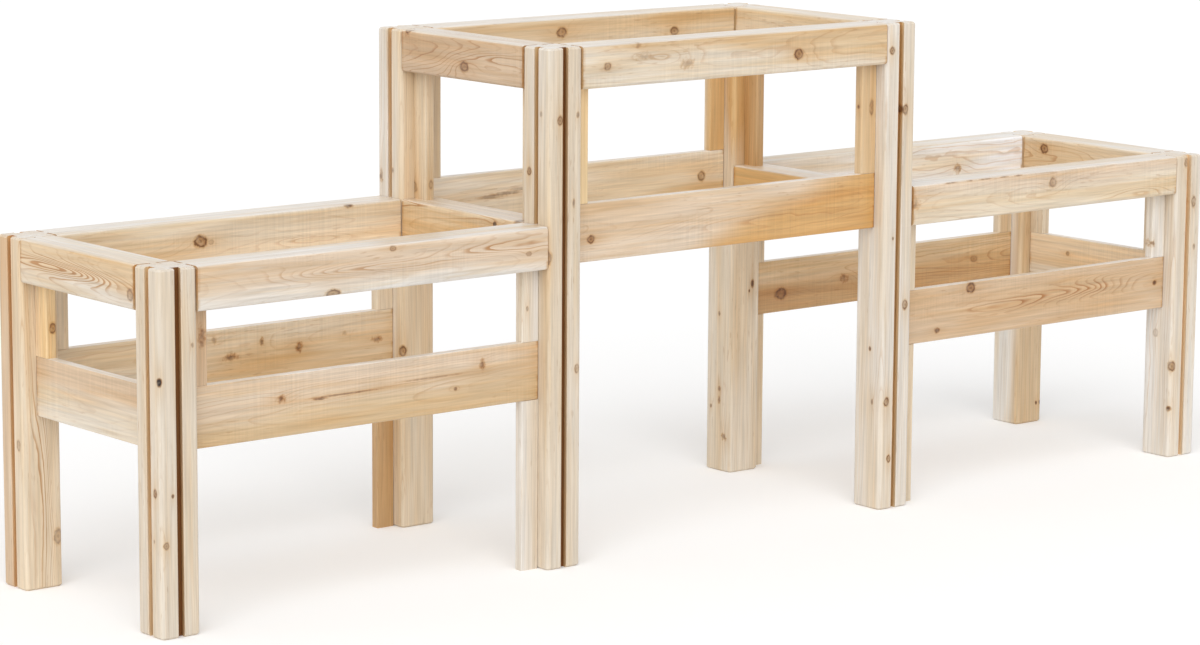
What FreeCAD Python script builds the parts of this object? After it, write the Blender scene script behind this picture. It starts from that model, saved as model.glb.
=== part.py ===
import FreeCAD, Part
import os
from collections import namedtuple

import Sketcher

SHEET = "dims"
QUARTER_TURN = 90.0
# Places and directions that differ by less than this are the same.
TOUCHING = 1e-6
# Share of its volume that a post loses to its grooves, at the least.
LEAST_CUT = 0.01

# Driving dimensions in millimetres: alias, value, what it measures.
DIMENSIONS = [
    ("bed_pitch", 798.0, "spacing of the posts along the row of beds, centre to centre"),
    ("bed_depth", 501.0, "outside depth over the front and back posts"),
    ("post_width", 74.0, "side of the square posts"),
    ("post_rounding", 8.0, "rounding of the long corners of a post"),
    ("post_end_bevel", 3.5, "bevel around the top and the foot of a post"),
    ("short_post_height", 610.0, "height of the posts at the two outer ends"),
    ("tall_post_height", 918.0, "height of the four posts around the centre bed"),
    ("groove_mouth", 12.0, "width of a dovetail groove at the face of the post"),
    ("groove_floor", 17.0, "width of a dovetail groove at its floor"),
    ("groove_depth", 13.0, "depth of a dovetail groove"),
    ("groove_arris", 1.2, "bevel along both lips of a groove"),
    ("side_clearance", 0.4, "slack between a tongue and each groove wall"),
    ("end_clearance", 0.6, "slack between a tongue and the groove floor"),
    ("shoulder_gap", 1.0, "slack between the shoulder of a piece and the post"),
    ("top_rail_height", 75.0, "height of the square top rails"),
    ("top_rail_thickness", 73.0, "thickness of the top rails, outer faces flush with the posts"),
    ("top_rail_rounding", 6.0, "rounding of the long edges of a top rail"),
    ("lower_rail_height", 104.0, "height of the lower rails"),
    ("board_thickness", 19.0, "thickness of lower rails, spacers and battens"),
    ("board_rounding", 2.5, "rounding of the edges of the boards"),
    ("stile_width", 35.0, "width of spacers and battens along the rail"),
    ("low_stop_height", 303.0, "underside of the lower rails of the two outer beds"),
]
VALUES = {alias: value for alias, value, meaning in DIMENSIONS}

doc = FreeCAD.newDocument("raised_garden_bed")
sheet = doc.addObject("Spreadsheet::Sheet", SHEET)
for row, (alias, value, meaning) in enumerate(DIMENSIONS, start=1):
    sheet.set(f"A{row}", meaning)
    sheet.set(f"B{row}", str(value))
    sheet.setAlias(f"B{row}", alias)
doc.recompute()


class Length:
    """A value in millimetres with the spreadsheet expression that drives it."""

    def __init__(self, value, text):
        self.value = value
        self.text = text

    def __add__(self, other):
        return Length(self.value + other.value, f"({self.text} + {other.text})")

    def __sub__(self, other):
        return Length(self.value - other.value, f"({self.text} - {other.text})")

    def __mul__(self, factor):
        return Length(self.value * factor, f"({self.text} * {factor})")

    def __neg__(self):
        return Length(-self.value, f"(-1 * {self.text})")


def size(alias):
    """The spreadsheet dimension with this alias."""
    return Length(VALUES[alias], f"{SHEET}.{alias}")


ZERO = Length(0.0, "0")
HALF_POST = size("post_width") * 0.5
HALF_BOARD = size("board_thickness") * 0.5
HALF_MOUTH = size("groove_mouth") * 0.5
HALF_FLOOR = size("groove_floor") * 0.5
HALF_NECK = HALF_MOUTH - size("side_clearance")
HALF_TAIL = HALF_FLOOR - size("side_clearance")
TONGUE_REACH = size("groove_depth") - size("end_clearance")
HALF_DEPTH = size("bed_depth") * 0.5


def turn(point, quarters):
    """Turn a plan point about the origin by quarter turns, counter-clockwise."""
    for _ in range(quarters % 4):
        point = (-point[1], point[0])
    return point


def new_body(label):
    body = doc.addObject("PartDesign::Body", label)
    body.Label = label
    return body


def ground_plane(body):
    for feature in body.Origin.OriginFeatures:
        if feature.Role == "XY_Plane":
            return feature
    raise RuntimeError(f"{body.Label} has no ground plane")


def pin_corner(sketch, line, axis, distance, name):
    """Hold one coordinate of the start of a line at a signed distance from the origin."""
    if abs(distance.value) < TOUCHING:
        on_axis = -2 if axis == "X" else -1
        sketch.addConstraint(Sketcher.Constraint("PointOnObject", line, 1, on_axis))
        return
    if distance.value > 0:
        held = Sketcher.Constraint(f"Distance{axis}", -1, 1, line, 1, distance.value)
    else:
        distance = -distance
        held = Sketcher.Constraint(f"Distance{axis}", line, 1, -1, 1, distance.value)
    index = sketch.addConstraint(held)
    sketch.renameConstraint(index, name)
    sketch.setExpression(f"Constraints.{name}", distance.text)


def outline(body, name, loops, lift=None):
    """Sketch closed polygons in plan, every corner driven by the spreadsheet."""
    sketch = body.newObject("Sketcher::SketchObject", name)
    sketch.AttachmentSupport = (ground_plane(body), [""])
    sketch.MapMode = "FlatFace"
    if lift is not None:
        sketch.setExpression("AttachmentOffset.Base.z", lift.text)
    for corners in loops:
        first = sketch.GeometryCount
        count = len(corners)
        points = [FreeCAD.Vector(x.value, y.value, 0) for x, y in corners]
        for i in range(count):
            sketch.addGeometry(Part.LineSegment(points[i], points[(i + 1) % count]), False)
        for i in range(count):
            follower = first + (i + 1) % count
            sketch.addConstraint(Sketcher.Constraint("Coincident", first + i, 2, follower, 1))
        for i, (x, y) in enumerate(corners):
            pin_corner(sketch, first + i, "X", x, f"across_{first + i}")
            pin_corner(sketch, first + i, "Y", y, f"along_{first + i}")
    return sketch


def pad_up(body, name, sketch, height):
    pad = body.newObject("PartDesign::Pad", name)
    pad.Profile = sketch
    pad.setExpression("Length", height.text)
    body.Tip = pad
    doc.recompute()
    return pad


def edges_where(shape, chosen):
    """Names of the straight edges whose middle and direction satisfy a test."""
    names = []
    for number, edge in enumerate(shape.Edges, start=1):
        if len(edge.Vertexes) == 2:
            start, end = (vertex.Point for vertex in edge.Vertexes)
            if chosen((start + end) * 0.5, end - start):
                names.append(f"Edge{number}")
    return names


def dress(body, kind, name, base, edges, amount):
    """Round or bevel named edges of a feature."""
    feature = body.newObject(f"PartDesign::{kind}", name)
    feature.Base = (base, edges)
    feature.setExpression("Radius" if kind == "Fillet" else "Size", amount.text)
    body.Tip = feature
    doc.recompute()
    return feature


def is_upright(along):
    return abs(along.x) + abs(along.y) < TOUCHING


def place(body, x, y, z, quarters):
    """Stand a body at its place in the row, turned by quarter turns."""
    turned = FreeCAD.Rotation(FreeCAD.Vector(0, 0, 1), QUARTER_TURN * quarters)
    body.Placement = FreeCAD.Placement(FreeCAD.Vector(x.value, y.value, z.value), turned)
    body.setExpression("Placement.Base.x", x.text)
    body.setExpression("Placement.Base.y", y.text)
    body.setExpression("Placement.Base.z", z.text)


def groove_section(quarters):
    """Dovetail cut into one face of a post, its lips opened by a small bevel."""
    lip = HALF_MOUTH + size("groove_arris")
    face = -HALF_POST
    below_lip = face + size("groove_arris")
    floor = face + size("groove_depth")
    right_half = [(lip, face), (HALF_MOUTH, below_lip), (HALF_FLOOR, floor)]
    left_half = [(-x, y) for x, y in reversed(right_half)]
    return [turn(corner, quarters) for corner in right_half + left_half]


def make_post(label, x, y, height, stop, quarters):
    """Grooved post: two faces grooved from end to end, two only above the lower rail."""
    body = new_body(label)
    square = [(-HALF_POST, -HALF_POST), (HALF_POST, -HALF_POST),
              (HALF_POST, HALF_POST), (-HALF_POST, HALF_POST)]
    blank = pad_up(body, f"{label}_blank", outline(body, f"{label}_section", [square]), height)
    corners = edges_where(blank.Shape, lambda middle, along: is_upright(along))
    rounded = dress(body, "Fillet", f"{label}_corners", blank, corners, size("post_rounding"))
    ends = [f"Face{number}" for number, face in enumerate(rounded.Shape.Faces, start=1)
            if abs(face.normalAt(0, 0).z) > 1 - TOUCHING]
    bevelled = dress(body, "Chamfer", f"{label}_ends", rounded, ends, size("post_end_bevel"))

    through = body.newObject("PartDesign::Pocket", f"{label}_outer_grooves")
    through.Profile = outline(body, f"{label}_outer_sections", [groove_section(0), groove_section(3)])
    through.Type = "ThroughAll"
    through.Reversed = True
    body.Tip = through
    doc.recompute()

    stopped = body.newObject("PartDesign::Pocket", f"{label}_inner_grooves")
    stopped.Profile = outline(body, f"{label}_inner_sections",
                              [groove_section(1), groove_section(2)], lift=height)
    stopped.setExpression("Length", (height - stop).text)
    body.Tip = stopped
    doc.recompute()

    for before, after in ((bevelled, through), (through, stopped)):
        if after.Shape.Volume > (1 - LEAST_CUT) * before.Shape.Volume:
            raise RuntimeError(f"{after.Label} cuts nothing")
    place(body, x, y, ZERO, quarters)
    return body


# One side of a bed seen from outside: the middle of its outer plane, its direction as quarter
# turns, the clear length between its two posts, and names for its left and right ends.
Side = namedtuple("Side", "label x y quarters clear_length end_names")
# Section of a rail: near and far are the distances of its faces from the outer plane.
Section = namedtuple("Section", "height near far rounding")

SQUARE = Section(size("top_rail_height"), ZERO, size("top_rail_thickness"), size("top_rail_rounding"))
BOARD = Section(size("lower_rail_height"), HALF_POST - HALF_BOARD, HALF_POST + HALF_BOARD,
                size("board_rounding"))


def make_rail(label, side, z, section):
    """Rail between two posts with a dovetail tongue along the full height of each end."""
    body = new_body(label)
    mouth = side.clear_length * 0.5
    end = mouth - size("shoulder_gap")
    tip = mouth + TONGUE_REACH
    right_end = [(end, section.near), (end, HALF_POST - HALF_NECK), (mouth, HALF_POST - HALF_NECK),
                 (tip, HALF_POST - HALF_TAIL), (tip, HALF_POST + HALF_TAIL),
                 (mouth, HALF_POST + HALF_NECK), (end, HALF_POST + HALF_NECK), (end, section.far)]
    left_end = [(-across, along) for across, along in reversed(right_end)]
    plan = outline(body, f"{label}_plan", [right_end + left_end])
    blank = pad_up(body, f"{label}_blank", plan, section.height)
    arrises = edges_where(blank.Shape, lambda middle, along: abs(along.x) > end.value)
    dress(body, "Fillet", f"{label}_arrises", blank, arrises, section.rounding)
    place(body, side.x, side.y, z, side.quarters)
    return body


def make_stile(label, side, at_right, z, height):
    """Upright strip at one end of a side, its dovetail tongue in the groove of the post."""
    body = new_body(label)
    gap = size("shoulder_gap")
    outer = gap + size("stile_width")
    upper_half = [(outer, HALF_BOARD), (gap, HALF_BOARD), (gap, HALF_NECK),
                  (ZERO, HALF_NECK), (-TONGUE_REACH, HALF_TAIL)]
    lower_half = [(across, -along) for across, along in reversed(upper_half)]
    plan = outline(body, f"{label}_plan", [upper_half + lower_half])
    blank = pad_up(body, f"{label}_blank", plan, height)

    arrises = edges_where(blank.Shape, lambda middle, along: is_upright(along)
                          and middle.x > gap.value + TOUCHING)
    dress(body, "Fillet", f"{label}_arrises", blank, arrises, size("board_rounding"))
    half = side.clear_length * 0.5
    shift_x, shift_y = turn((half if at_right else -half, HALF_POST), side.quarters)
    place(body, side.x + shift_x, side.y + shift_y, z, side.quarters + (2 if at_right else 0))
    return body


POST_ROW = HALF_DEPTH - HALF_POST
LOW_TOP = size("short_post_height")
LOW_STOP = size("low_stop_height")
TALL_TOP = size("tall_post_height")
TALL_STOP = LOW_TOP - size("top_rail_height")
pieces = []

# Four short posts at the outer ends and four tall posts around the centre bed.
for group, reach, height, stop in (("end_post", 1.5, LOW_TOP, LOW_STOP),
                                   ("centre_post", 0.5, TALL_TOP, TALL_STOP)):
    across = size("bed_pitch") * reach
    for name, x, y, quarters in (("left_front", -across, -POST_ROW, 0),
                                 ("right_front", across, -POST_ROW, 1),
                                 ("right_back", across, POST_ROW, 2),
                                 ("left_back", -across, POST_ROW, 3)):
        pieces.append(make_post(f"{group}_{name}", x, y, height, stop, quarters))


def fill_side(side, top, stop, base_label, base):
    """Slide in the base rail, a spacer on each of its ends, and the top rail on the spacers."""
    seat = stop + base.height
    underside = top - SQUARE.height
    pieces.append(make_rail(base_label, side, stop, base))
    pieces.append(make_rail(f"{side.label}_top_rail", side, underside, SQUARE))
    for at_right, end_name in enumerate(side.end_names):
        spacer = f"{side.label}_spacer_{end_name}"
        pieces.append(make_stile(spacer, side, at_right, seat, underside - seat))
        in_through_groove = (end_name == "inner")
        if in_through_groove:
            pieces.append(make_stile(f"{side.label}_batten", side, at_right, ZERO, stop))


# Long sides of the three beds.
LONG_SIDE = size("bed_pitch") - size("post_width")
for bed, place_in_row, top, stop, end_names in (
        ("left", -1, LOW_TOP, LOW_STOP, ("outer", "inner")),
        ("centre", 0, TALL_TOP, TALL_STOP, ("left", "right")),
        ("right", 1, LOW_TOP, LOW_STOP, ("inner", "outer"))):
    middle = size("bed_pitch") * place_in_row
    front = Side(f"{bed}_front", middle, -HALF_DEPTH, 0, LONG_SIDE, end_names)
    back = Side(f"{bed}_back", middle, HALF_DEPTH, 2, LONG_SIDE, end_names[::-1])
    for side in (front, back):
        fill_side(side, top, stop, f"{side.label}_lower_rail", BOARD)

# Short sides. Between the tall posts the inner top rail of the low bed is the base rail.
SHORT_SIDE = size("bed_depth") - size("post_width") * 2
for hand, sign, quarters, end_names in (("left", -1, 3, ("back", "front")),
                                        ("right", 1, 1, ("front", "back"))):
    outer_plane = (size("bed_pitch") * 1.5 + HALF_POST) * sign
    outer = Side(f"{hand}_end", outer_plane, ZERO, quarters, SHORT_SIDE, end_names)
    fill_side(outer, LOW_TOP, LOW_STOP, f"{hand}_end_lower_rail", BOARD)
    tall_plane = (size("bed_pitch") * 0.5 + HALF_POST) * sign
    inner = Side(f"centre_{hand}", tall_plane, ZERO, quarters, SHORT_SIDE, end_names)
    fill_side(inner, TALL_TOP, TALL_STOP, f"{hand}_inner_top_rail", SQUARE)

doc.recompute()
for item in doc.Objects:
    if "Invalid" in item.State or "Error" in item.State:
        raise RuntimeError(f"{item.Label} is {item.State}")
os.makedirs("parts", exist_ok=True)
for piece in pieces:
    if piece.Shape.isNull() or not piece.Shape.isValid():
        raise RuntimeError(f"{piece.Label} is not a sound solid")
    piece.Shape.exportStep(f"parts/{piece.Label}.step")
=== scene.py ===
import math
from collections import namedtuple

import bpy
import numpy as np
from mathutils import Matrix, Vector


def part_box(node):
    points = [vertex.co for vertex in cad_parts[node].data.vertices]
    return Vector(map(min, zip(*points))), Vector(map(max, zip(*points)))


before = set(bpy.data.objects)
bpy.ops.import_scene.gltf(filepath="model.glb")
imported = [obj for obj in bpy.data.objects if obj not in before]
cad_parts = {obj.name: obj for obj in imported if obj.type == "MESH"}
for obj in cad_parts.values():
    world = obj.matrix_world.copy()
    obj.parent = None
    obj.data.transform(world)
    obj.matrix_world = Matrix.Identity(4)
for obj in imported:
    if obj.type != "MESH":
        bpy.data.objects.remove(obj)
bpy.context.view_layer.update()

scene = bpy.context.scene


def linear(red, green, blue):
    """Colour given as display values from 0 to 255, as scene-linear values with alpha."""
    def channel(value):
        value = value / 255.0
        return value / 12.92 if value <= 0.04045 else ((value + 0.055) / 1.055) ** 2.4
    return (channel(red), channel(green), channel(blue), 1.0)


class Graph:
    """Shader nodes joined by short calls; most calls return an output socket."""

    def __init__(self, tree):
        self.tree = tree

    def feed(self, socket, value):
        if isinstance(value, bpy.types.NodeSocket):
            self.tree.links.new(value, socket)
        else:
            socket.default_value = value

    def node(self, kind, inputs=(), **settings):
        made = self.tree.nodes.new(kind)
        for key, value in settings.items():
            setattr(made, key, value)
        for key, value in inputs:
            self.feed(made.inputs[key], value)
        return made

    def math(self, operation, *values):
        return self.node("ShaderNodeMath", enumerate(values), operation=operation).outputs[0]

    def vector(self, operation, *values):
        made = self.node("ShaderNodeVectorMath", enumerate(values), operation=operation)
        return made.outputs["Value" if operation == "LENGTH" else "Vector"]

    def scaled(self, vector, factor):
        made = self.node("ShaderNodeVectorMath", ((0, vector), ("Scale", factor)), operation="SCALE")
        return made.outputs["Vector"]

    def noise(self, vector, detail=2.0, output="Fac"):
        made = self.node("ShaderNodeTexNoise", (("Vector", vector), ("Scale", 1.0), ("Detail", detail)))
        return made.outputs[output]

    def smooth(self, value, low, high):
        """0 below low, 1 above high and eased between; the other way round if low is above high."""
        inputs = (("Value", value), ("From Min", low), ("From Max", high))
        return self.node("ShaderNodeMapRange", inputs, interpolation_type="SMOOTHSTEP").outputs[0]

    def mix(self, factor, first, second, blend="MIX"):
        made = self.node("ShaderNodeMix", data_type="RGBA", blend_type=blend)
        for index, value in ((0, factor), (6, first), (7, second)):
            self.feed(made.inputs[index], value)
        return made.outputs[2]

    def tinted(self, amount, colour, tint):
        """Colour multiplied by a tint, by an amount from 0 to 1."""
        return self.mix(amount, colour, self.mix(1.0, colour, tint, "MULTIPLY"))

    def ramp(self, value, stops):
        """Tints at rising values from 0 to 1, blended between them."""
        made = self.node("ShaderNodeValToRGB", ((0, value),))
        band = made.color_ramp.elements
        for place, _ in stops[1:-1]:
            band.new(place)
        for stop, (place, tint) in zip(band, stops):
            stop.position = place
            stop.color = (*tint, 1.0)
        return made.outputs[0]

    def group(self, tree, **inputs):
        """Node of a shader group; returns its outputs."""
        made = self.tree.nodes.new("ShaderNodeGroup")
        made.node_tree = tree
        for key, value in inputs.items():
            self.feed(made.inputs[key], value)
        return made.outputs

    def split(self, vector):
        return self.node("ShaderNodeSeparateXYZ", (("Vector", vector),)).outputs

    def join(self, *values):
        return self.node("ShaderNodeCombineXYZ", enumerate(values)).outputs[0]


def new_group(name, inputs, outputs):
    """Empty shader group with its graph, its input sockets and its output node's sockets."""
    tree = bpy.data.node_groups.new(name, "ShaderNodeTree")
    for direction, sockets in (("INPUT", inputs), ("OUTPUT", outputs)):
        for socket, kind in sockets:
            tree.interface.new_socket(socket, in_out=direction, socket_type=f"NodeSocket{kind}")
    graph = Graph(tree)
    return graph, graph.node("NodeGroupInput").outputs, graph.node("NodeGroupOutput").inputs


# Tints that multiply the tone of a piece.
WARM = (0.94, 0.84, 0.68, 1.0)
PALE = (1.04, 1.08, 1.13, 1.0)
LATE_WOOD = (0.66, 0.44, 0.25, 1.0)
FLECK = (0.62, 0.43, 0.25, 1.0)
HALO = (0.86, 0.70, 0.50, 1.0)
# Darker end faces: end grain, and partly painted shade of the narrow gaps at the joints; also used in
# patches near rail ends.
END_GRAIN = (0.80, 0.62, 0.42, 1.0)
# Painted shadow in the narrow gap where a rail's end meets a post.
JOINT_SHADOW = (0.42, 0.27, 0.15, 1.0)
# Pale colour painted on upward faces as a sheen of reflected light, and how far they are mixed towards
# it.
TOP_SHEEN = linear(229, 222, 213)
TOP_SHEEN_SHARE = 0.85
# Layers of colour along the fibres: waves per metre along and across, noise range, strength, tint.
STREAKS = (
    ((1.6, 10.0), 0.46, 0.70, 0.90, WARM),
    ((1.9, 30.0), 0.48, 0.68, 0.75, WARM),
    ((5.0, 110.0), 0.48, 0.66, 0.50, WARM),
    ((1.7, 17.0), 0.50, 0.30, 0.90, PALE),
    ((4.0, 60.0), 0.48, 0.32, 0.60, PALE),
)
# Other patterns of the wood, in waves per metre along and across the fibres.
BROAD_BENDS = (2.4, 10.0)
SMALL_BENDS = (18.0, 60.0)
RING_DRIFT = (1.2, 26.0)
LINE_STRETCHES = (2.0, 9.0)
FLECKS = (38.0, 260.0)
FLECK_GROUPS = (3.0, 16.0)
FIBRES = (20.0, 700.0)
STRANDS = (6.0, 190.0)
SAW_MARKS = (260.0, 6.0)
SAWN_AREAS = (4.0, 12.0)
# How far the two bends carry the rings, in metres, and how far the rings drift, in rings.
BROAD_BEND, SMALL_BEND, DRIFT = 0.018, 0.0024, 1.6
# Shares of a ring where its late wood starts, is full and starts to fade; a flame starts it earlier.
LATE_START, LATE_FULL, LATE_FADES = 0.70, 0.93, 0.95
FLAME_WIDENS = 0.30
# How dark the faintest ring is beside the darkest, and the faintest stretch of a line.
FAINTEST_RING, FAINTEST_STRETCH = 0.25, 0.15
# Noise values between which lines and groups of flecks, single flecks, and sawn areas come in.
LINES_SHOW, FLECKS_SHOW, MARKS_SHOW = (0.40, 0.62), (0.62, 0.74), (0.46, 0.60)
# Contrast of flecks, fibres and strands, and the height of fibres and late wood in the bump.
FLECK_CONTRAST, FIBRE_CONTRAST, STRAND_CONTRAST = 0.35, 0.26, 0.52
FIBRE_HEIGHT, LATE_HEIGHT = 0.6, 0.5
# Step through the patterns from one seed to the next, so that no two pieces are alike.
SEED_STEP = (7.3, 3.1, 5.7)
# Mean of the noise in each of its three channels.
MIDDLE = (0.5, 0.5, 0.5)


def make_softwood():
    """Sawn softwood as a solid: growth rings round a pith that leans through the piece.

    Position is in metres, its first axis along the fibres. Shift moves the rings where a branch
    pushes them aside. Figure and Flame set how strong their lines are, Sawn the saw marks across
    the fibres, and Streaky the streaks of colour along them.
    """
    graph, given, out = new_group(
        "softwood",
        (("Position", "Vector"), ("Seed", "Float"), ("Shift", "Float"), ("Tone", "Color"),
         ("Pith", "Vector"), ("Lean", "Vector"), ("Ring", "Float"), ("Figure", "Float"),
         ("Flame", "Float"), ("Sawn", "Float"), ("Streaky", "Float")),
        (("Colour", "Color"), ("Height", "Float")))
    place = graph.vector("ADD", given["Position"], graph.scaled(SEED_STEP, given["Seed"]))

    def pattern(waves, detail=1.0, output="Fac"):
        along, across = waves
        return graph.noise(graph.vector("MULTIPLY", place, (along, across, across)), detail, output)

    def bend(waves, amount):
        centred = graph.vector("SUBTRACT", pattern(waves, 1.5, "Color"), MIDDLE)
        return graph.vector("MULTIPLY", centred, (0.0, amount, amount))

    along = graph.split(given["Position"])[0]
    bent = graph.vector("ADD", graph.scaled(given["Lean"], along), bend(BROAD_BENDS, BROAD_BEND))
    bent = graph.vector("ADD", bent, bend(SMALL_BENDS, SMALL_BEND))
    across = graph.vector("SUBTRACT", graph.vector("ADD", given["Position"], bent), given["Pith"])
    radius = graph.vector("LENGTH", graph.vector("MULTIPLY", across, (0.0, 1.0, 1.0)))
    turns = graph.math("DIVIDE", graph.math("ADD", radius, given["Shift"]), given["Ring"])
    turns = graph.math("MULTIPLY_ADD", pattern(RING_DRIFT), DRIFT, turns)
    part = graph.math("FRACT", turns)
    ring = graph.math("ADD", graph.math("FLOOR", turns), given["Seed"])
    chance = graph.node("ShaderNodeTexWhiteNoise", (("W", ring),), noise_dimensions="1D")
    flame_share = graph.math("MINIMUM", given["Flame"], 1.0)
    start = graph.math("MULTIPLY_ADD", flame_share, -FLAME_WIDENS, LATE_START)
    late = graph.math("MULTIPLY", graph.smooth(part, start, LATE_FULL),
                      graph.smooth(part, 1.0, LATE_FADES))
    darkness = graph.math("MULTIPLY_ADD", chance.outputs["Value"], 1.0 - FAINTEST_RING, FAINTEST_RING)
    late = graph.math("MULTIPLY", late, darkness)
    stretches = graph.smooth(pattern(LINE_STRETCHES), *LINES_SHOW)
    drawn = graph.math("MULTIPLY_ADD", stretches, 1.0 - FAINTEST_STRETCH, FAINTEST_STRETCH)
    shown = graph.math("MULTIPLY_ADD", drawn, given["Figure"], given["Flame"])
    line = graph.math("MULTIPLY", late, shown)

    colour = given["Tone"]
    for waves, low, high, strength, tint in STREAKS:
        amount = graph.math("MULTIPLY", graph.smooth(pattern(waves, 2.0), low, high), strength)
        colour = graph.tinted(graph.math("MULTIPLY", amount, given["Streaky"]), colour, tint)
    colour = graph.tinted(line, colour, LATE_WOOD)
    groups = graph.smooth(pattern(FLECK_GROUPS), *LINES_SHOW)
    flecks = graph.math("MULTIPLY", graph.smooth(pattern(FLECKS), *FLECKS_SHOW), groups)
    colour = graph.tinted(graph.math("MULTIPLY", flecks, FLECK_CONTRAST), colour, FLECK)

    fibres = pattern(FIBRES, 3.0)
    darkest = 1.0 - (FIBRE_CONTRAST + STRAND_CONTRAST) / 2
    shade = graph.math("MULTIPLY_ADD", fibres, FIBRE_CONTRAST, darkest)
    shade = graph.math("MULTIPLY_ADD", pattern(STRANDS, 2.0), STRAND_CONTRAST, shade)
    sawn = graph.smooth(pattern(SAWN_AREAS), *MARKS_SHOW)
    marks = graph.math("MULTIPLY", graph.math("SUBTRACT", pattern(SAW_MARKS), 0.5), sawn)
    shade = graph.math("MULTIPLY_ADD", marks, given["Sawn"], shade)
    grey = graph.node("ShaderNodeCombineColor", ((0, shade), (1, shade), (2, shade))).outputs[0]
    graph.feed(out["Colour"], graph.mix(1.0, colour, grey, "MULTIPLY"))
    raised = graph.math("MULTIPLY", fibres, FIBRE_HEIGHT)
    graph.feed(out["Height"], graph.math("MULTIPLY_ADD", late, LATE_HEIGHT, raised))
    return graph.tree


# Tints of a knot by the distance from its middle, from 0 to KNOT_REACH times its radius.
KNOT_REACH = 1.6
WHITE = (1.0, 1.0, 1.0)
KNOT_TINTS = {
    "ring": ((0.00, (0.34, 0.22, 0.13)), (0.16, (0.44, 0.31, 0.18)), (0.26, (0.62, 0.47, 0.30)),
             (0.40, (0.52, 0.36, 0.22)), (0.52, (0.22, 0.12, 0.05)), (0.62, (0.30, 0.17, 0.08)),
             (0.74, (0.84, 0.70, 0.52)), (0.95, WHITE)),
    "pin": ((0.00, (0.16, 0.09, 0.04)), (0.42, (0.22, 0.12, 0.06)), (0.64, (0.66, 0.48, 0.30)),
            (0.88, WHITE)),
    "star": ((0.00, (0.26, 0.15, 0.07)), (0.28, (0.38, 0.24, 0.13)), (0.55, (0.74, 0.56, 0.37)),
             (0.90, WHITE)),
    # A knot hole: its near-black middle is painted shade in the hollow.
    "hole": ((0.00, (0.02, 0.01, 0.01)), (0.48, (0.04, 0.02, 0.01)), (0.60, (0.42, 0.26, 0.13)),
             (0.80, WHITE)),
}
# How ragged the rim of a knot is, as a share of its radius, and the waves per metre of that.
RAGGED = {"ring": 0.7, "pin": 0.9, "star": 2.4, "hole": 0.6, "flame": 0.0}
RAGGED_WAVES = (150.0, 150.0, 150.0)
# The glow round a knot reaches further along the fibres, and fades with the square of the distance.
HALO_STRETCH = (0.45, 1.0, 1.0)
HALO_FADE = 0.22
HALO_STRENGTH = 0.55
# A knot covers the wood in patches: waves per metre, noise range, thinnest cover and how much more.
COVER_WAVES = (85.0, 85.0, 85.0)
COVER_SHOWS = (0.36, 0.56)
THIN_COVER, EXTRA_COVER = 0.75, 0.35


def make_branch():
    """A branch through the wood: how far it pushes the rings, the glow round it, and the distance
    from its middle, 1 at its rim."""
    graph, given, out = new_group(
        "branch",
        (("Position", "Vector"), ("Centre", "Vector"), ("Spread", "Vector"), ("Push", "Float"),
         ("Ragged", "Float")),
        (("Shift", "Float"), ("Halo", "Float"), ("Distance", "Float")))
    away = graph.vector("SUBTRACT", given["Position"], given["Centre"])
    away = graph.vector("MULTIPLY", away, given["Spread"])
    stretched = graph.vector("LENGTH", graph.vector("MULTIPLY", away, HALO_STRETCH))
    fade = graph.math("MULTIPLY", graph.math("MULTIPLY", stretched, stretched), -HALO_FADE)
    halo = graph.math("POWER", math.e, fade)
    uneven = graph.noise(graph.vector("MULTIPLY", given["Position"], RAGGED_WAVES))
    wander = graph.math("MULTIPLY", graph.math("SUBTRACT", uneven, 0.5), given["Ragged"])
    graph.feed(out["Shift"], graph.math("MULTIPLY", halo, given["Push"]))
    graph.feed(out["Halo"], halo)
    graph.feed(out["Distance"], graph.math("ADD", graph.vector("LENGTH", away), wander))
    return graph.tree


def make_knot(kind):
    """Colour of a knot laid over the colour of the wood round it."""
    graph, given, out = new_group(
        f"knot_{kind}",
        (("Colour", "Color"), ("Position", "Vector"), ("Halo", "Float"), ("Distance", "Float"),
         ("Dark", "Float")),
        (("Colour", "Color"),))
    glow = graph.math("MULTIPLY", given["Halo"], given["Dark"])
    glow = graph.math("MULTIPLY", glow, HALO_STRENGTH)
    colour = graph.tinted(glow, given["Colour"], HALO)
    tint = graph.ramp(graph.math("DIVIDE", given["Distance"], KNOT_REACH), KNOT_TINTS[kind])
    patchy = graph.noise(graph.vector("MULTIPLY", given["Position"], COVER_WAVES), 1.0)
    cover = graph.math("MULTIPLY_ADD", graph.smooth(patchy, *COVER_SHOWS), EXTRA_COVER, THIN_COVER)
    cover = graph.math("MULTIPLY", given["Dark"], cover)
    graph.feed(out["Colour"], graph.tinted(cover, colour, tint))
    return graph.tree


# Painted light and shade inside the grooves of a post, by depth from the face to the floor: warm walls
# mostly lifted against their shade, a floor painted darker.
GROOVE_TINTS = {
    "pale": ((0.10, WHITE), (0.30, (1.18, 1.12, 0.98)), (0.80, (1.20, 1.10, 0.92)),
             (0.97, (1.10, 0.92, 0.68))),
    "tan": ((0.10, WHITE), (0.30, (1.12, 1.02, 0.82)), (0.80, (1.12, 0.96, 0.70)),
            (0.97, (0.85, 0.60, 0.36))),
    "brown": ((0.10, WHITE), (0.30, (1.08, 0.94, 0.68)), (0.80, (1.04, 0.82, 0.50)),
              (0.97, (0.66, 0.44, 0.22))),
    "dark": ((0.10, WHITE), (0.30, (1.05, 0.92, 0.70)), (0.80, (0.85, 0.62, 0.38)),
             (0.97, (0.30, 0.15, 0.06))),
}
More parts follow.
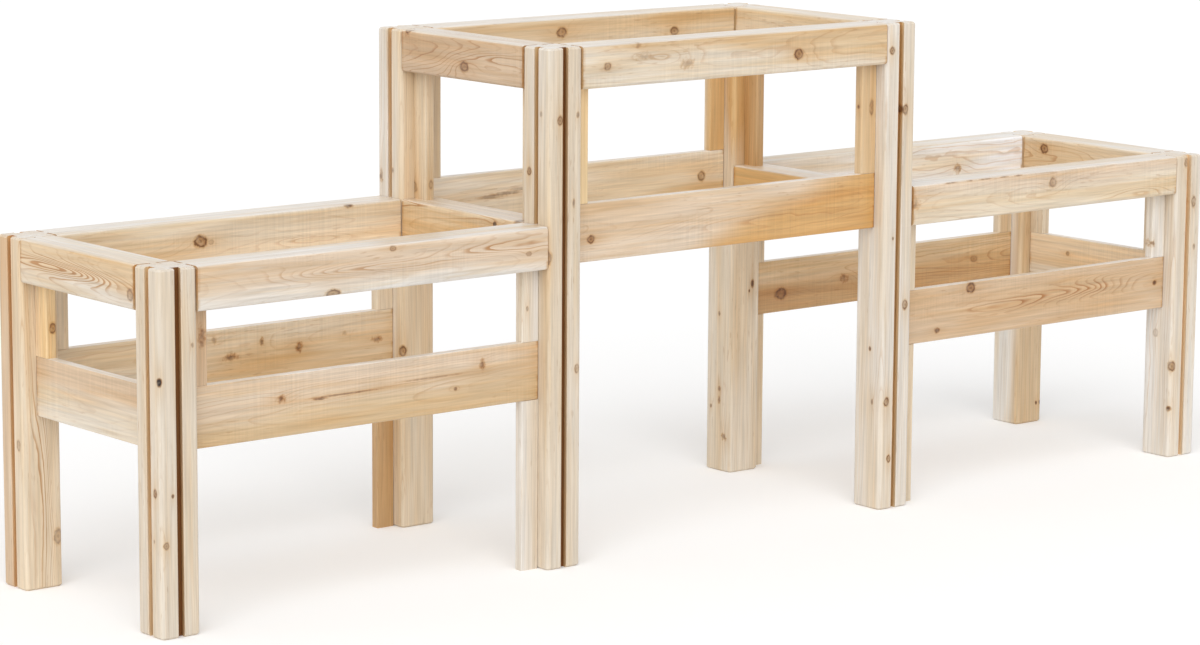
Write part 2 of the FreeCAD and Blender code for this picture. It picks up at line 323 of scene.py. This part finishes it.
# Painted shade of the grooves in the front and back faces and in the side faces of a post, set post by
# post; the others are tan.
SHADED_GROOVES = {"end_post_left_front": ("dark", "tan"), "centre_post_left_front": ("dark", "brown"),
           "centre_post_right_front": ("brown", "brown"), "end_post_right_front": ("pale", "pale")}
PLAIN_GROOVES = ("tan", "tan")
# Joints, in metres: half the width that holds a groove, the soft edge of its tint, the depth of a
# groove, and how far a tongue reaches into it.
GROOVE_REACH = 0.0092
GROOVE_SOFTNESS = 0.0005
GROOVE_DEPTH = 0.013
TONGUE = 0.0124
# Distance from an end where its patchy darkening and its painted line of shade in the joint start and
# are full, in metres, and the waves per metre and noise range of the patches.
DARK_PATCH_STARTS, DARK_PATCH_FULL = 0.008, 0.001
LINE_STARTS, LINE_FULL = 0.0022, 0.0008
DARK_PATCH_WAVES = (40.0, 40.0, 40.0)
DARK_PATCH_SHOWS = (0.40, 0.60)
# Distance from an edge where its paleness starts and is full, in metres, and how strong it is: partly
# wear, partly a painted highlight on the rounded edges.
WEAR_AND_HIGHLIGHT_STARTS, WEAR_AND_HIGHLIGHT_FULL, WEAR_AND_HIGHLIGHT = 0.009, 0.001, 0.5
# Upright pieces are planed: they have fainter saw marks and softer streaks than rails.
PLANED = {"Sawn": 0.04, "Streaky": 0.65}
SAWN = {"Sawn": 0.20, "Streaky": 1.0}
# Part of a face's normal, along the fibres or upwards, from which it starts to count as an end or a
# top, and from which it fully does.
END_FACE, TOP_FACE = (0.5, 0.8), (0.5, 0.9)
# Border between two tones: step from seed to seed, waves per metre, sway and softness as shares.
BORDER_STEP = (3.7, 1.9, 0.0)
BORDER_WAVES = (3.0, 14.0, 14.0)
BORDER_SWAY, BORDER_SOFTNESS = 0.8, 0.24
# Roughness of the wood, how much raised grain lowers it, and the bump with its depth in metres.
ROUGHNESS, GRAIN_GLOSS = 0.34, 0.08
BUMP_STRENGTH, BUMP_DEPTH = 0.15, 0.0006
# How far apart the seeds of two pieces lie that follow each other by name.
SEED_SPACING = 1.37
# Order of the object axes so that the first runs along the fibres.
FIBRE_ORDER = {"X": (0, 1, 2), "Y": (1, 0, 2), "Z": (2, 0, 1)}
SOFTWOOD = make_softwood()
BRANCH = make_branch()
KNOT_COLOURS = {kind: make_knot(kind) for kind in KNOT_TINTS}

# Tones of the wood, from white to brown.
WOODS = {
    "snow": linear(242, 240, 240), "pearl": linear(234, 228, 219), "chalk": linear(228, 222, 214),
    "ivory": linear(222, 213, 201), "vanilla": linear(233, 219, 198), "linen": linear(222, 209, 190),
    "shell": linear(217, 204, 186), "butter": linear(236, 213, 182), "cream": linear(222, 204, 178),
    "blush": linear(217, 195, 170), "wheat": linear(217, 191, 155), "gold": linear(234, 203, 155),
    "oat": linear(212, 184, 146), "sand": linear(207, 179, 147), "straw": linear(206, 177, 137),
    "fawn": linear(200, 172, 141), "honey": linear(213, 174, 120), "copper": linear(207, 163, 104),
    "amber": linear(198, 159, 111),
}

Plank = namedtuple("Plank", "upper lower split slope figure lean ring reroll turned")
Knot = namedtuple("Knot", "along across length width dark push face kind depth")


def plank(upper, lower=None, split=0.5, slope=0.0, figure=0.6, lean=0.01, ring=3.2, reroll=0,
          turned=False):
    """Wood of a piece: its upper and lower tone, where they meet as a share of the height, how much
    that rises along the piece, how strong its lines are, how much the pith leans from end to end, the
    width of a ring in millimetres, and a number that picks another cut. A turned plank, and a post, has
    its upper tone at the back and its lower tone in front."""
    return Plank(upper, lower or upper, split, slope, figure, lean, ring / 1000, reroll, turned)


def knot(along, across, length, width, dark=0.7, push=3.0, face=None, kind="ring", depth=55.0):
    """Knot on a face looking along -X, -Y or +Z. Its place is given as shares of the face; its size,
    its depth and how far it pushes the rings are in millimetres."""
    return Knot(along, across, length / 1000, width / 1000, dark, push / 1000, face, kind, depth / 1000)


def flame(along, across, length, width, push, strength, face=None):
    """Place where the rings bulge towards the face and show as chevrons; sizes as for a knot."""
    return knot(along, across, length, width, strength, push, face, kind="flame")


def centre_of_knot(item, axis, half):
    """Place of a knot in the piece, fibres first, and one over its radius in each direction."""
    reach = half[0] if axis == "Z" else half[0] - TONGUE
    place = [(2 * item.along - 1) * reach, 0.0, 0.0]
    spread = [2 / item.length, 2 / item.width, 2 / item.width]
    face = item.face or ("X" if axis == "Y" else "Y")
    depth = FIBRE_ORDER[axis].index("XYZ".index(face))
    width = 3 - depth
    place[depth] = half[depth] if face == "Z" else -half[depth]
    place[width] = (2 * item.across - 1) * half[width]
    spread[depth] = 1 / item.depth
    return tuple(place), tuple(spread)


def scattered(seed, step, stretch):
    """Number from 0 to 1 that jumps about as the seed counts up."""
    return math.modf(abs(math.sin(seed * step) * stretch))[0]


def cut_from_log(axis, lean, seed):
    """Where the pith lies beside a piece, in metres, and how it leans; the seed sets the place.

    The pith of an upright lies outside it, at the right and the back. The pith of a rail lies behind
    the face that the photograph shows, near the middle of its height.
    """
    chance = scattered(seed, 12.9898, 43758.5453)
    other = scattered(seed, 78.233, 12543.123)
    if axis == "Z":
        pith = (0.0, 0.10 + 0.05 * chance, 0.12 - 0.06 * other)
        return {"Pith": pith, "Lean": (0.0, lean, 0.012)}
    pith = (0.0, 0.030 + 0.03 * chance, 0.03 * (other - 0.5))
    return {"Pith": pith, "Lean": (0.0, lean, 0.02 * (other - 0.5))}


def blend_tones(graph, wood, position, offset, half, seed):
    """Tone of a piece: its upper wood over its lower wood, with a wandering border between them."""
    if wood.lower == wood.upper:
        return WOODS[wood.upper]
    moved = graph.vector("ADD", position, tuple(seed * step for step in BORDER_STEP))
    wander = graph.noise(graph.vector("MULTIPLY", moved, BORDER_WAVES))
    side = 1 if wood.turned else 2
    level = graph.math("MULTIPLY_ADD", offset[side], 0.5 / half[side], 0.5 - wood.split)
    level = graph.math("MULTIPLY_ADD", offset[0], -0.5 * wood.slope / half[0], level)
    level = graph.math("MULTIPLY_ADD", graph.math("SUBTRACT", wander, 0.5), BORDER_SWAY, level)
    above = graph.smooth(level, -BORDER_SOFTNESS, BORDER_SOFTNESS)
    return graph.mix(above, WOODS[wood.lower], WOODS[wood.upper])


def shade_grooves(graph, colour, sides, half, at_end, groove_shading):
    """Tint the grooves of a post with painted light and shade: warm walls lifted against their shade,
    over a floor painted darker as shade.
    """
    nearest = graph.math("MINIMUM", *sides)
    within = graph.smooth(nearest, GROOVE_REACH + GROOVE_SOFTNESS, GROOVE_REACH)
    within = graph.math("MULTIPLY", within, graph.math("SUBTRACT", 1.0, at_end))
    depth = graph.math("SUBTRACT", half, graph.math("MAXIMUM", *sides))
    share = graph.math("DIVIDE", depth, GROOVE_DEPTH)
    front, side = (graph.ramp(share, GROOVE_TINTS[shading_kind]) for shading_kind in groove_shading)
    tint = graph.mix(graph.math("GREATER_THAN", *sides), front, side)
    return graph.tinted(within, colour, tint)


def darken_rail_ends(graph, colour, position, along, reach, on_sides):
    """Darken a rail's sides in patches near its ends, with a painted line of shade down its sides where
    it meets the post.
    """
    from_end = graph.math("SUBTRACT", reach, graph.math("ABSOLUTE", along))
    patchy = graph.noise(graph.vector("MULTIPLY", position, DARK_PATCH_WAVES))
    patchy = graph.smooth(patchy, *DARK_PATCH_SHOWS)
    near_end = graph.smooth(from_end, DARK_PATCH_STARTS, DARK_PATCH_FULL)
    darkened = graph.math("MULTIPLY", near_end, graph.math("MULTIPLY", patchy, on_sides))
    colour = graph.tinted(darkened, colour, END_GRAIN)
    # Painted shade: a dark line where the rail meets the post.
    edge = graph.math("MULTIPLY", graph.smooth(from_end, LINE_STARTS, LINE_FULL), on_sides)
    return graph.tinted(edge, colour, JOINT_SHADOW)


def wood_material(name, axis, low, high, seed, wood, knots, groove_shading):
    """Material of one piece of wood, with its own cut from the log and its own knots."""
    material = bpy.data.materials.new(name)
    material.use_nodes = True
    material.node_tree.nodes.clear()
    graph = Graph(material.node_tree)
    order = FIBRE_ORDER[axis]
    half = [(high[index] - low[index]) / 2 for index in order]
    coordinates = graph.node("ShaderNodeTexCoord").outputs
    offset = graph.split(graph.vector("SUBTRACT", coordinates["Object"], tuple((low + high) / 2)))
    offset = [offset[index] for index in order]
    position = graph.join(*offset)

    branches = []
    shift, flames = 0.0, 0.0
    for item in knots:
        place, spread = centre_of_knot(item, axis, half)
        branch = graph.group(BRANCH, Position=position, Centre=place, Spread=spread, Push=item.push,
                             Ragged=RAGGED[item.kind])
        shift = graph.math("ADD", branch["Shift"], shift)
        if item.kind == "flame":
            flames = graph.math("MULTIPLY_ADD", branch["Halo"], item.dark, flames)
        else:
            branches.append((item, branch))

    upward = graph.smooth(graph.split(coordinates["Normal"])[2], *TOP_FACE)
    tone = blend_tones(graph, wood, position, offset, half, seed)
    # Painted sheen: upward faces mixed towards a pale colour.
    tone = graph.mix(graph.math("MULTIPLY", upward, TOP_SHEEN_SHARE), tone, TOP_SHEEN)
    grain = graph.group(SOFTWOOD, Position=position, Seed=seed * SEED_SPACING, Shift=shift, Tone=tone,
                        Figure=wood.figure, Flame=flames, Ring=wood.ring,
                        **(PLANED if axis == "Z" else SAWN), **cut_from_log(axis, wood.lean, seed))
    colour = grain["Colour"]
    for item, branch in branches:
        covered = graph.group(KNOT_COLOURS[item.kind], Colour=colour, Position=position,
                              Halo=branch["Halo"], Distance=branch["Distance"], Dark=item.dark)
        colour = covered["Colour"]

    facing = graph.math("ABSOLUTE", graph.split(coordinates["Normal"])[order[0]])
    at_end = graph.smooth(facing, *END_FACE)
    sides = [graph.math("ABSOLUTE", value) for value in offset[1:]]
    # The square uprights are the posts.
    if axis == "Z" and half[1] == half[2]:
        # Painted light and shade in the grooves.
        colour = shade_grooves(graph, colour, sides, half[1], at_end, groove_shading)
    else:
        # End faces darker: end grain, partly painted shade of the joint gaps.
        colour = graph.tinted(at_end, colour, END_GRAIN)
    if axis != "Z":
        on_sides = graph.math("SUBTRACT", 1.0, graph.math("MAXIMUM", upward, at_end))
        colour = darken_rail_ends(graph, colour, position, offset[0], half[0] - TONGUE, on_sides)
    from_edge = graph.math("MAXIMUM", graph.math("SUBTRACT", half[1], sides[0]),
                           graph.math("SUBTRACT", half[2], sides[1]))
    # Pale edges: partly wear, partly a painted highlight on the rounded edges.
    worn_and_lit = graph.math("MULTIPLY", graph.smooth(from_edge, WEAR_AND_HIGHLIGHT_STARTS, WEAR_AND_HIGHLIGHT_FULL), WEAR_AND_HIGHLIGHT)
    colour = graph.tinted(worn_and_lit, colour, PALE)

    roughness = graph.math("MULTIPLY_ADD", grain["Height"], -GRAIN_GLOSS, ROUGHNESS)
    bump = graph.node("ShaderNodeBump", (("Height", grain["Height"]), ("Strength", BUMP_STRENGTH),
                                         ("Distance", BUMP_DEPTH)))
    shader = graph.node("ShaderNodeBsdfPrincipled", (("Base Color", colour), ("Roughness", roughness),
                                                     ("Normal", bump.outputs[0])))
    graph.node("ShaderNodeOutputMaterial", (("Surface", shader.outputs[0]),))
    return material


PLAIN_POST = plank("ivory", figure=0.4, ring=3.4)
PLAIN_BOARD = plank("cream", figure=0.5)
# Pieces that differ from plain stock. Some tones are partly painted light and shade: paler on faces at
# the back that the lamps light less, darker on some faces in shade.
PLANKS = {
    "left_front_top_rail": plank("blush", "ivory", 0.32, figure=0.35, lean=-0.03, ring=2.0),
    "left_back_top_rail": plank("cream", "butter", 0.40, 0.3, figure=0.4, lean=-0.02, ring=2.2),
    "left_end_top_rail": plank("wheat", "ivory", 0.36, figure=0.3, lean=-0.05, ring=2.5),
    "left_inner_top_rail": plank("wheat", "honey", 0.5, -0.6, figure=1.3, lean=-0.06, ring=2.8,
                                 reroll=2),
    "left_front_lower_rail": plank("blush", "straw", 0.50, 0.3, figure=0.5, lean=0.02, ring=2.6),
    "left_back_lower_rail": plank("cream", "wheat", 0.5, 1.0, figure=0.5, lean=0.02),
    "left_end_lower_rail": plank("sand", "linen", 0.45, figure=0.25, lean=0.03),
    "left_front_batten": plank("ivory", figure=0.4),
    "left_back_batten": plank("amber"),
    "left_end_spacer_back": plank("butter", "gold"),
    "left_front_spacer_inner": plank("chalk", figure=0.4),
    "left_front_spacer_outer": plank("sand", figure=0.7),
    "centre_front_top_rail": plank("oat", "linen", 0.55, -0.9, figure=0.4, lean=0.02, ring=2.6),
    "centre_left_top_rail": plank("fawn", figure=1.2, lean=0.05, ring=2.4),
    "centre_back_top_rail": plank("wheat", "cream", 0.55, figure=0.8, lean=0.03, ring=2.4),
    "centre_front_lower_rail": plank("blush", "copper", 0.22, 2.0, figure=0.35, lean=-0.03, ring=2.2),
    "centre_back_lower_rail": plank("vanilla", "cream", 0.4, figure=0.4, lean=0.03),
    "centre_front_spacer_left": plank("gold", figure=0.4),
    "centre_front_spacer_right": plank("wheat", figure=0.5),
    "centre_back_spacer_right": plank("wheat", "honey", figure=0.6),
    "centre_right_spacer_back": plank("amber", figure=0.6),
    "right_inner_top_rail": plank("honey", figure=0.6),
    "right_front_top_rail": plank("blush", "cream", 0.6, figure=0.4, lean=0.02, ring=2.4),
    # Paler inner face: painted light where the lamps light the face less.
    "right_back_top_rail": plank("linen", "snow", figure=0.5, turned=True),
    "right_end_top_rail": plank("cream", "wheat", figure=0.7, lean=0.04, ring=2.4),
    "right_end_lower_rail": plank("butter", "linen", figure=0.3),
    "right_front_lower_rail": plank("sand", figure=0.6, lean=0.04, ring=2.0),
    "right_back_lower_rail": plank("wheat", "amber", 0.60, figure=0.7, lean=0.03),
    "right_front_spacer_outer": plank("chalk", figure=0.3),
    "end_post_left_front": plank("shell", figure=0.4, ring=3.4),
    "end_post_left_back": plank("sand", "cream", 0.5, figure=0.6),
    "end_post_right_back": plank("pearl", "wheat", 0.28, figure=0.4),
    "end_post_right_front": plank("chalk", "ivory", figure=0.4, ring=3.4),
    "centre_post_left_front": plank("shell", figure=0.4, ring=3.4),
    "centre_post_left_back": plank("ivory", "cream", 0.3, figure=0.4, ring=3.4),
    "centre_post_right_back": plank("linen", "honey", -0.28, 1.6, figure=0.4, ring=3.4),
}
# Knots and flames of each piece, on the sides that the photograph shows.
KNOTS = {
    "left_front_top_rail": [
        knot(0.54, 0.91, 12, 8, 0.6), knot(0.94, 0.43, 10, 7, 0.5),
        knot(0.37, 0.03, 26, 16, 0.8, push=9), flame(0.84, 0.64, 60, 12, 8, 1.3),
        flame(0.54, 0.50, 50, 10, 7, 1.3), flame(0.36, 0.55, 50, 11, 8, 1.0)],
    "left_back_top_rail": [
        knot(0.40, 0.50, 25, 19, 0.95, push=5), knot(0.43, 0.46, 10, 8, 0.4),
        knot(0.84, 0.99, 18, 8, 0.8, kind="pin", depth=8), flame(0.72, 0.30, 50, 10, 8, 0.9)],
    "left_end_top_rail": [
        flame(0.46, 0.50, 60, 12, 12, 3.0), flame(0.74, 0.56, 50, 10, 8, 3.0),
        knot(0.03, 0.33, 16, 18, 0.6)],
    "left_inner_top_rail": [
        knot(0.22, 0.83, 10, 9, 1.0, kind="hole"), knot(0.04, 0.98, 18, 14, 0.6, kind="pin"),
        flame(0.36, 0.95, 90, 26, 14, 0.6)],
    "left_front_lower_rail": [
        knot(0.25, 0.62, 16, 13, 0.9, kind="star"), knot(0.36, 0.53, 26, 4, 0.7, kind="pin"),
        knot(0.43, 0.555, 130, 3, 0.55, 0, kind="pin"), knot(0.68, 0.62, 120, 3, 0.4, 0, kind="pin"),
        knot(0.75, 0.38, 7, 6, 0.7, kind="pin"), knot(0.83, 0.72, 11, 17, 0.8, kind="star")],
    "left_back_lower_rail": [
        knot(0.60, 0.70, 8, 16, 0.8, kind="star"), knot(0.71, 0.53, 14, 16, 0.9, kind="star"),
        knot(0.85, 0.66, 9, 8, 0.4, kind="star"), knot(0.95, 0.49, 20, 12, 0.9, kind="star"),
        knot(0.51, 0.51, 26, 12, 0.8, kind="star"), knot(0.46, 0.84, 8, 16, 0.5, kind="star"),
        knot(0.94, 0.03, 10, 10, 0.7, kind="pin")],
    "left_end_spacer_back": [knot(0.40, 0.65, 17, 13, 0.8)],
    "left_front_spacer_outer": [knot(0.63, 0.80, 30, 12, 0.8, kind="star")],
    "left_front_spacer_inner": [knot(0.46, 0.23, 9, 5, 0.6, kind="pin")],
    "centre_front_top_rail": [
        knot(0.077, 0.50, 14, 12, 0.7), knot(0.695, 0.43, 20, 17, 0.95, push=5),
        knot(0.193, 0.66, 30, 12, 0.40, kind="star", push=2),
        knot(0.327, 0.42, 28, 16, 0.50, kind="star", push=2), flame(0.25, 0.60, 30, 14, 7, 0.25),
        knot(0.174, 0.93, 14, 8, 0.5, kind="star")],
    "centre_left_top_rail": [
        knot(0.475, 0.33, 22, 17, 0.75, push=10), knot(0.95, 0.08, 16, 12, 0.9, face="Z", depth=12),
        flame(0.25, 0.50, 40, 12, 8, 1.6, "Z"), flame(0.62, 0.50, 40, 12, 8, 1.6, "Z"),
        flame(0.22, 0.60, 40, 12, 9, 0.9)],
    "centre_back_top_rail": [
        knot(0.41, 0.66, 21, 17, 0.8, push=7), knot(0.79, 0.49, 18, 15, 0.8, push=5)],
    "centre_back_lower_rail": [
        knot(0.92, 0.54, 16, 18, 0.75, push=5),
        *(knot(place, height, 60, 6, 0.5, 0, kind="pin")
          for place, height in ((0.21, 0.56), (0.26, 0.60), (0.31, 0.65)))],
    "centre_front_lower_rail": [knot(0.059, 0.38, 15, 13, 0.95), flame(0.52, 0.42, 80, 16, 12, 0.5)],
    "centre_front_spacer_right": [
        knot(0.60, 0.50, 26, 9, 0.6), knot(0.61, 0.50, 8, 6, 0.8, face="X", kind="pin")],
    "centre_left_spacer_back": [knot(0.09, 0.70, 18, 14, 0.6, face="X"), knot(0.12, 0.60, 14, 8, 0.5)],
    "right_front_top_rail": [
        knot(0.514, 0.69, 17, 18, 0.6, push=5), knot(0.01, 0.54, 20, 18, 0.6, kind="star"),
        flame(0.85, 0.20, 40, 12, 8, 0.5),
        *(knot(place, 0.98, length, 3, 0.6, 0, kind="pin", depth=4)
          for place, length in ((0.138, 30), (0.205, 16), (0.263, 32), (0.331, 23), (0.385, 20)))],
    "right_back_top_rail": [knot(0.74, 0.28, 18, 16, 0.8, kind="star", push=5)],
    "right_end_top_rail": [knot(0.83, 0.72, 20, 17, 1.0)],
    "right_end_lower_rail": [knot(0.69, 0.68, 9, 9, 0.7, kind="pin")],
    "right_front_lower_rail": [
        knot(0.253, 0.90, 21, 18, 0.9), knot(0.132, 0.19, 13, 10, 0.95, kind="pin"),
        knot(0.965, 0.51, 11, 9, 0.95, kind="pin"), flame(0.66, 0.57, 70, 14, 11, 1.6),
        flame(0.36, 0.48, 50, 11, 8, 0.8)],
    "right_back_lower_rail": [
        knot(0.11, 0.35, 27, 21, 0.85, push=6), knot(0.345, 0.48, 18, 15, 0.8, kind="star", push=9),
        knot(0.85, 0.54, 18, 13, 0.4)],
    "right_front_spacer_outer": [knot(0.23, 0.08, 12, 9, 0.8, kind="star")],
    "end_post_left_front": [
        knot(0.70, 0.04, 15, 12, 1.0, 1, "X", "hole", 5), knot(0.397, 0.24, 13, 9, 0.85, face="X"),
        knot(0.265, 0.30, 6, 4, 0.6, face="X", kind="pin"), knot(0.257, 0.12, 11, 9, 0.9, depth=7),
        knot(0.39, 0.30, 7, 5, 0.8, kind="pin"), knot(0.79, 0.86, 8, 5, 0.6, kind="pin")],
    "end_post_left_back": [
        knot(0.146, 0.88, 24, 16, 0.55, push=7), flame(0.285, 0.51, 90, 20, 13, 1.0),
        knot(0.414, 0.22, 17, 10, 0.6, face="X")],
    "centre_post_left_front": [
        knot(0.864, 0.33, 15, 11, 0.75), knot(0.764, 0.74, 14, 10, 0.85, face="X"),
        knot(0.605, 0.06, 22, 14, 0.75, face="X", depth=8), knot(0.386, 0.87, 15, 9, 0.7),
        knot(0.872, 0.86, 10, 6, 0.6, kind="pin"), knot(0.704, 0.75, 14, 5, 0.6, kind="pin"),
        knot(0.875, 0.30, 9, 6, 0.45, face="X", kind="pin")],
    "centre_post_left_back": [
        knot(0.36, 0.04, 18, 12, 0.95, depth=9), knot(0.72, 0.37, 9, 6, 0.7, face="X", kind="pin"),
        knot(0.705, 0.85, 24, 10, 0.7, face="X", kind="star")],
    "centre_post_right_front": [
        knot(0.945, 0.17, 13, 11, 0.85), knot(0.824, 0.66, 17, 12, 0.85),
        knot(0.422, 0.77, 17, 12, 0.85), knot(0.225, 0.19, 15, 12, 0.95),
        knot(0.106, 0.30, 13, 9, 0.95), knot(0.562, 0.31, 6, 4, 0.7, kind="pin"),
        knot(0.333, 0.44, 9, 6, 0.9, face="X", kind="pin"),
        knot(0.223, 0.33, 9, 5, 0.6, face="X", kind="pin")],
    "centre_post_right_back": [
        knot(0.342, 0.48, 9, 6, 0.7, face="X", kind="pin"),
        knot(0.179, 0.45, 9, 7, 0.9, face="X", kind="pin"),
        knot(0.155, 0.46, 13, 6, 0.7, face="X", kind="star"),
        knot(0.138, 0.78, 7, 5, 0.7, face="X", kind="pin"),
        knot(0.077, 0.24, 16, 12, 0.9, face="X", kind="star"),
        knot(0.406, 0.73, 16, 8, 0.95, kind="pin"), knot(0.391, 0.62, 6, 4, 0.9, kind="pin")],
    "end_post_right_front": [
        knot(0.978, 0.38, 17, 12, 0.7), knot(0.846, 0.70, 20, 11, 0.7),
        knot(0.696, 0.77, 11, 6, 0.6, kind="pin"), knot(0.409, 0.59, 15, 12, 0.4, face="X"),
        knot(0.306, 0.06, 19, 14, 0.85, depth=9),
        knot(0.164, 0.06, 11, 8, 0.9, face="X", kind="pin", depth=8)],
    "end_post_right_back": [
        knot(0.067, 0.78, 8, 5, 0.9, 0, kind="pin"), knot(0.067, 0.93, 8, 5, 0.9, 0, kind="pin")],
}
# More than the number of pieces, so that a piece cut again shares its seed with no other.
REROLL_STEP = 60

for number, (node, piece) in enumerate(sorted(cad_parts.items()), start=1):
    low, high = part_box(node)
    extent = high - low
    axis = "XYZ"[max(range(3), key=lambda index: extent[index])]
    wood = PLANKS.get(node, PLAIN_POST if "_post_" in node else PLAIN_BOARD)
    seed = number + REROLL_STEP * wood.reroll
    material = wood_material(f"wood_{node}", axis, low, high, seed, wood, KNOTS.get(node, []),
                             SHADED_GROOVES.get(node, PLAIN_GROOVES))
    piece.data.materials.clear()
    piece.data.materials.append(material)

# Studio: a pale floor, even white surroundings and two broad soft lamps. Seen directly, or in a
# reflection, the surroundings are white and the floor is lifted to white outside the shadow.
FLOOR_HALF_SIZE = 40.0
FLOOR_COLOUR = (0.93, 0.93, 0.93, 1.0)
FLOOR_LIFT = 0.14
STUDIO_WHITE = (1.0, 1.0, 1.0, 1.0)
AMBIENT = 0.62


def seen_directly(graph):
    """1 for rays from the camera and for reflections and refractions, 0 for light that is on its
    way to a surface."""
    rays = graph.node("ShaderNodeLightPath").outputs
    seen = graph.math("MAXIMUM", rays["Is Camera Ray"], rays["Is Glossy Ray"])
    return graph.math("MAXIMUM", seen, rays["Is Transmission Ray"])


def floor_surface(half_size):
    """Level square at height 0: x and y each run from -half_size to half_size."""
    steps = np.linspace(-half_size, half_size, 2)
    x, y = np.meshgrid(steps, steps)
    points = np.stack((x, y, np.zeros_like(x)), axis=-1).reshape(-1, 3)
    return points.tolist(), [(0, 1, 3, 2)]


def make_floor():
    """Floor under the part, with its own matt material."""
    material = bpy.data.materials.new("floor")
    material.use_nodes = True
    shader = material.node_tree.nodes["Principled BSDF"]
    shader.inputs["Base Color"].default_value = FLOOR_COLOUR
    shader.inputs["Roughness"].default_value = 1.0
    shader.inputs["Specular IOR Level"].default_value = 0.0
    shader.inputs["Emission Color"].default_value = STUDIO_WHITE
    graph = Graph(material.node_tree)
    lift = graph.math("MULTIPLY", seen_directly(graph), FLOOR_LIFT)
    graph.feed(shader.inputs["Emission Strength"], lift)
    points, faces = floor_surface(FLOOR_HALF_SIZE)
    mesh = bpy.data.meshes.new("floor")
    mesh.from_pydata(points, [], faces)
    mesh.materials.append(material)
    made = bpy.data.objects.new("floor", mesh)
    scene.collection.objects.link(made)
    return made


floor = make_floor()

world = bpy.data.worlds.new("studio")
scene.world = world
world.use_nodes = True
surround = world.node_tree.nodes["Background"]
surround.inputs["Color"].default_value = STUDIO_WHITE
world_graph = Graph(world.node_tree)
glow = world_graph.math("MULTIPLY_ADD", seen_directly(world_graph), 1.0 - AMBIENT, AMBIENT)
world_graph.feed(surround.inputs["Strength"], glow)


def add_lamp(name, strength, spread, azimuth, elevation):
    """Broad distant lamp; azimuth 0 shines from the front, 90 from the right."""
    data = bpy.data.lights.new(name, "SUN")
    data.energy = strength
    data.angle = math.radians(spread)
    lamp = bpy.data.objects.new(name, data)
    scene.collection.objects.link(lamp)
    turn, rise = math.radians(azimuth), math.radians(elevation)
    level = math.cos(rise)
    towards = Vector((math.sin(turn) * level, -math.cos(turn) * level, math.sin(rise)))
    lamp.rotation_mode = "QUATERNION"
    lamp.rotation_quaternion = towards.to_track_quat("Z", "Y")


add_lamp("key", strength=1.40, spread=60.0, azimuth=-40.0, elevation=36.0)
add_lamp("fill", strength=0.45, spread=90.0, azimuth=-75.0, elevation=35.0)

# Camera at the place the photograph was taken from.
LENS_MM = 115.95
SENSOR_MM = 36.0
EYE = Vector((-4.557, -5.416, 1.581))
YAW, PITCH, ROLL = (math.radians(angle) for angle in (39.36, 9.77, 0.36))
forward = Vector((math.sin(YAW) * math.cos(PITCH), math.cos(YAW) * math.cos(PITCH), -math.sin(PITCH)))
level = Vector((math.cos(YAW), -math.sin(YAW), 0.0))
down = forward.cross(level)
right = level * math.cos(ROLL) - down * math.sin(ROLL)
below = level * math.sin(ROLL) + down * math.cos(ROLL)
camera_data = bpy.data.cameras.new("camera")
camera_data.sensor_fit = "HORIZONTAL"
camera_data.sensor_width = SENSOR_MM
camera_data.lens = LENS_MM
camera = bpy.data.objects.new("camera", camera_data)
scene.collection.objects.link(camera)
turned = Matrix((right, -below, -forward)).transposed()
camera.matrix_world = Matrix.Translation(EYE) @ turned.to_4x4()
scene.camera = camera
scene.view_settings.view_transform = "Standard"
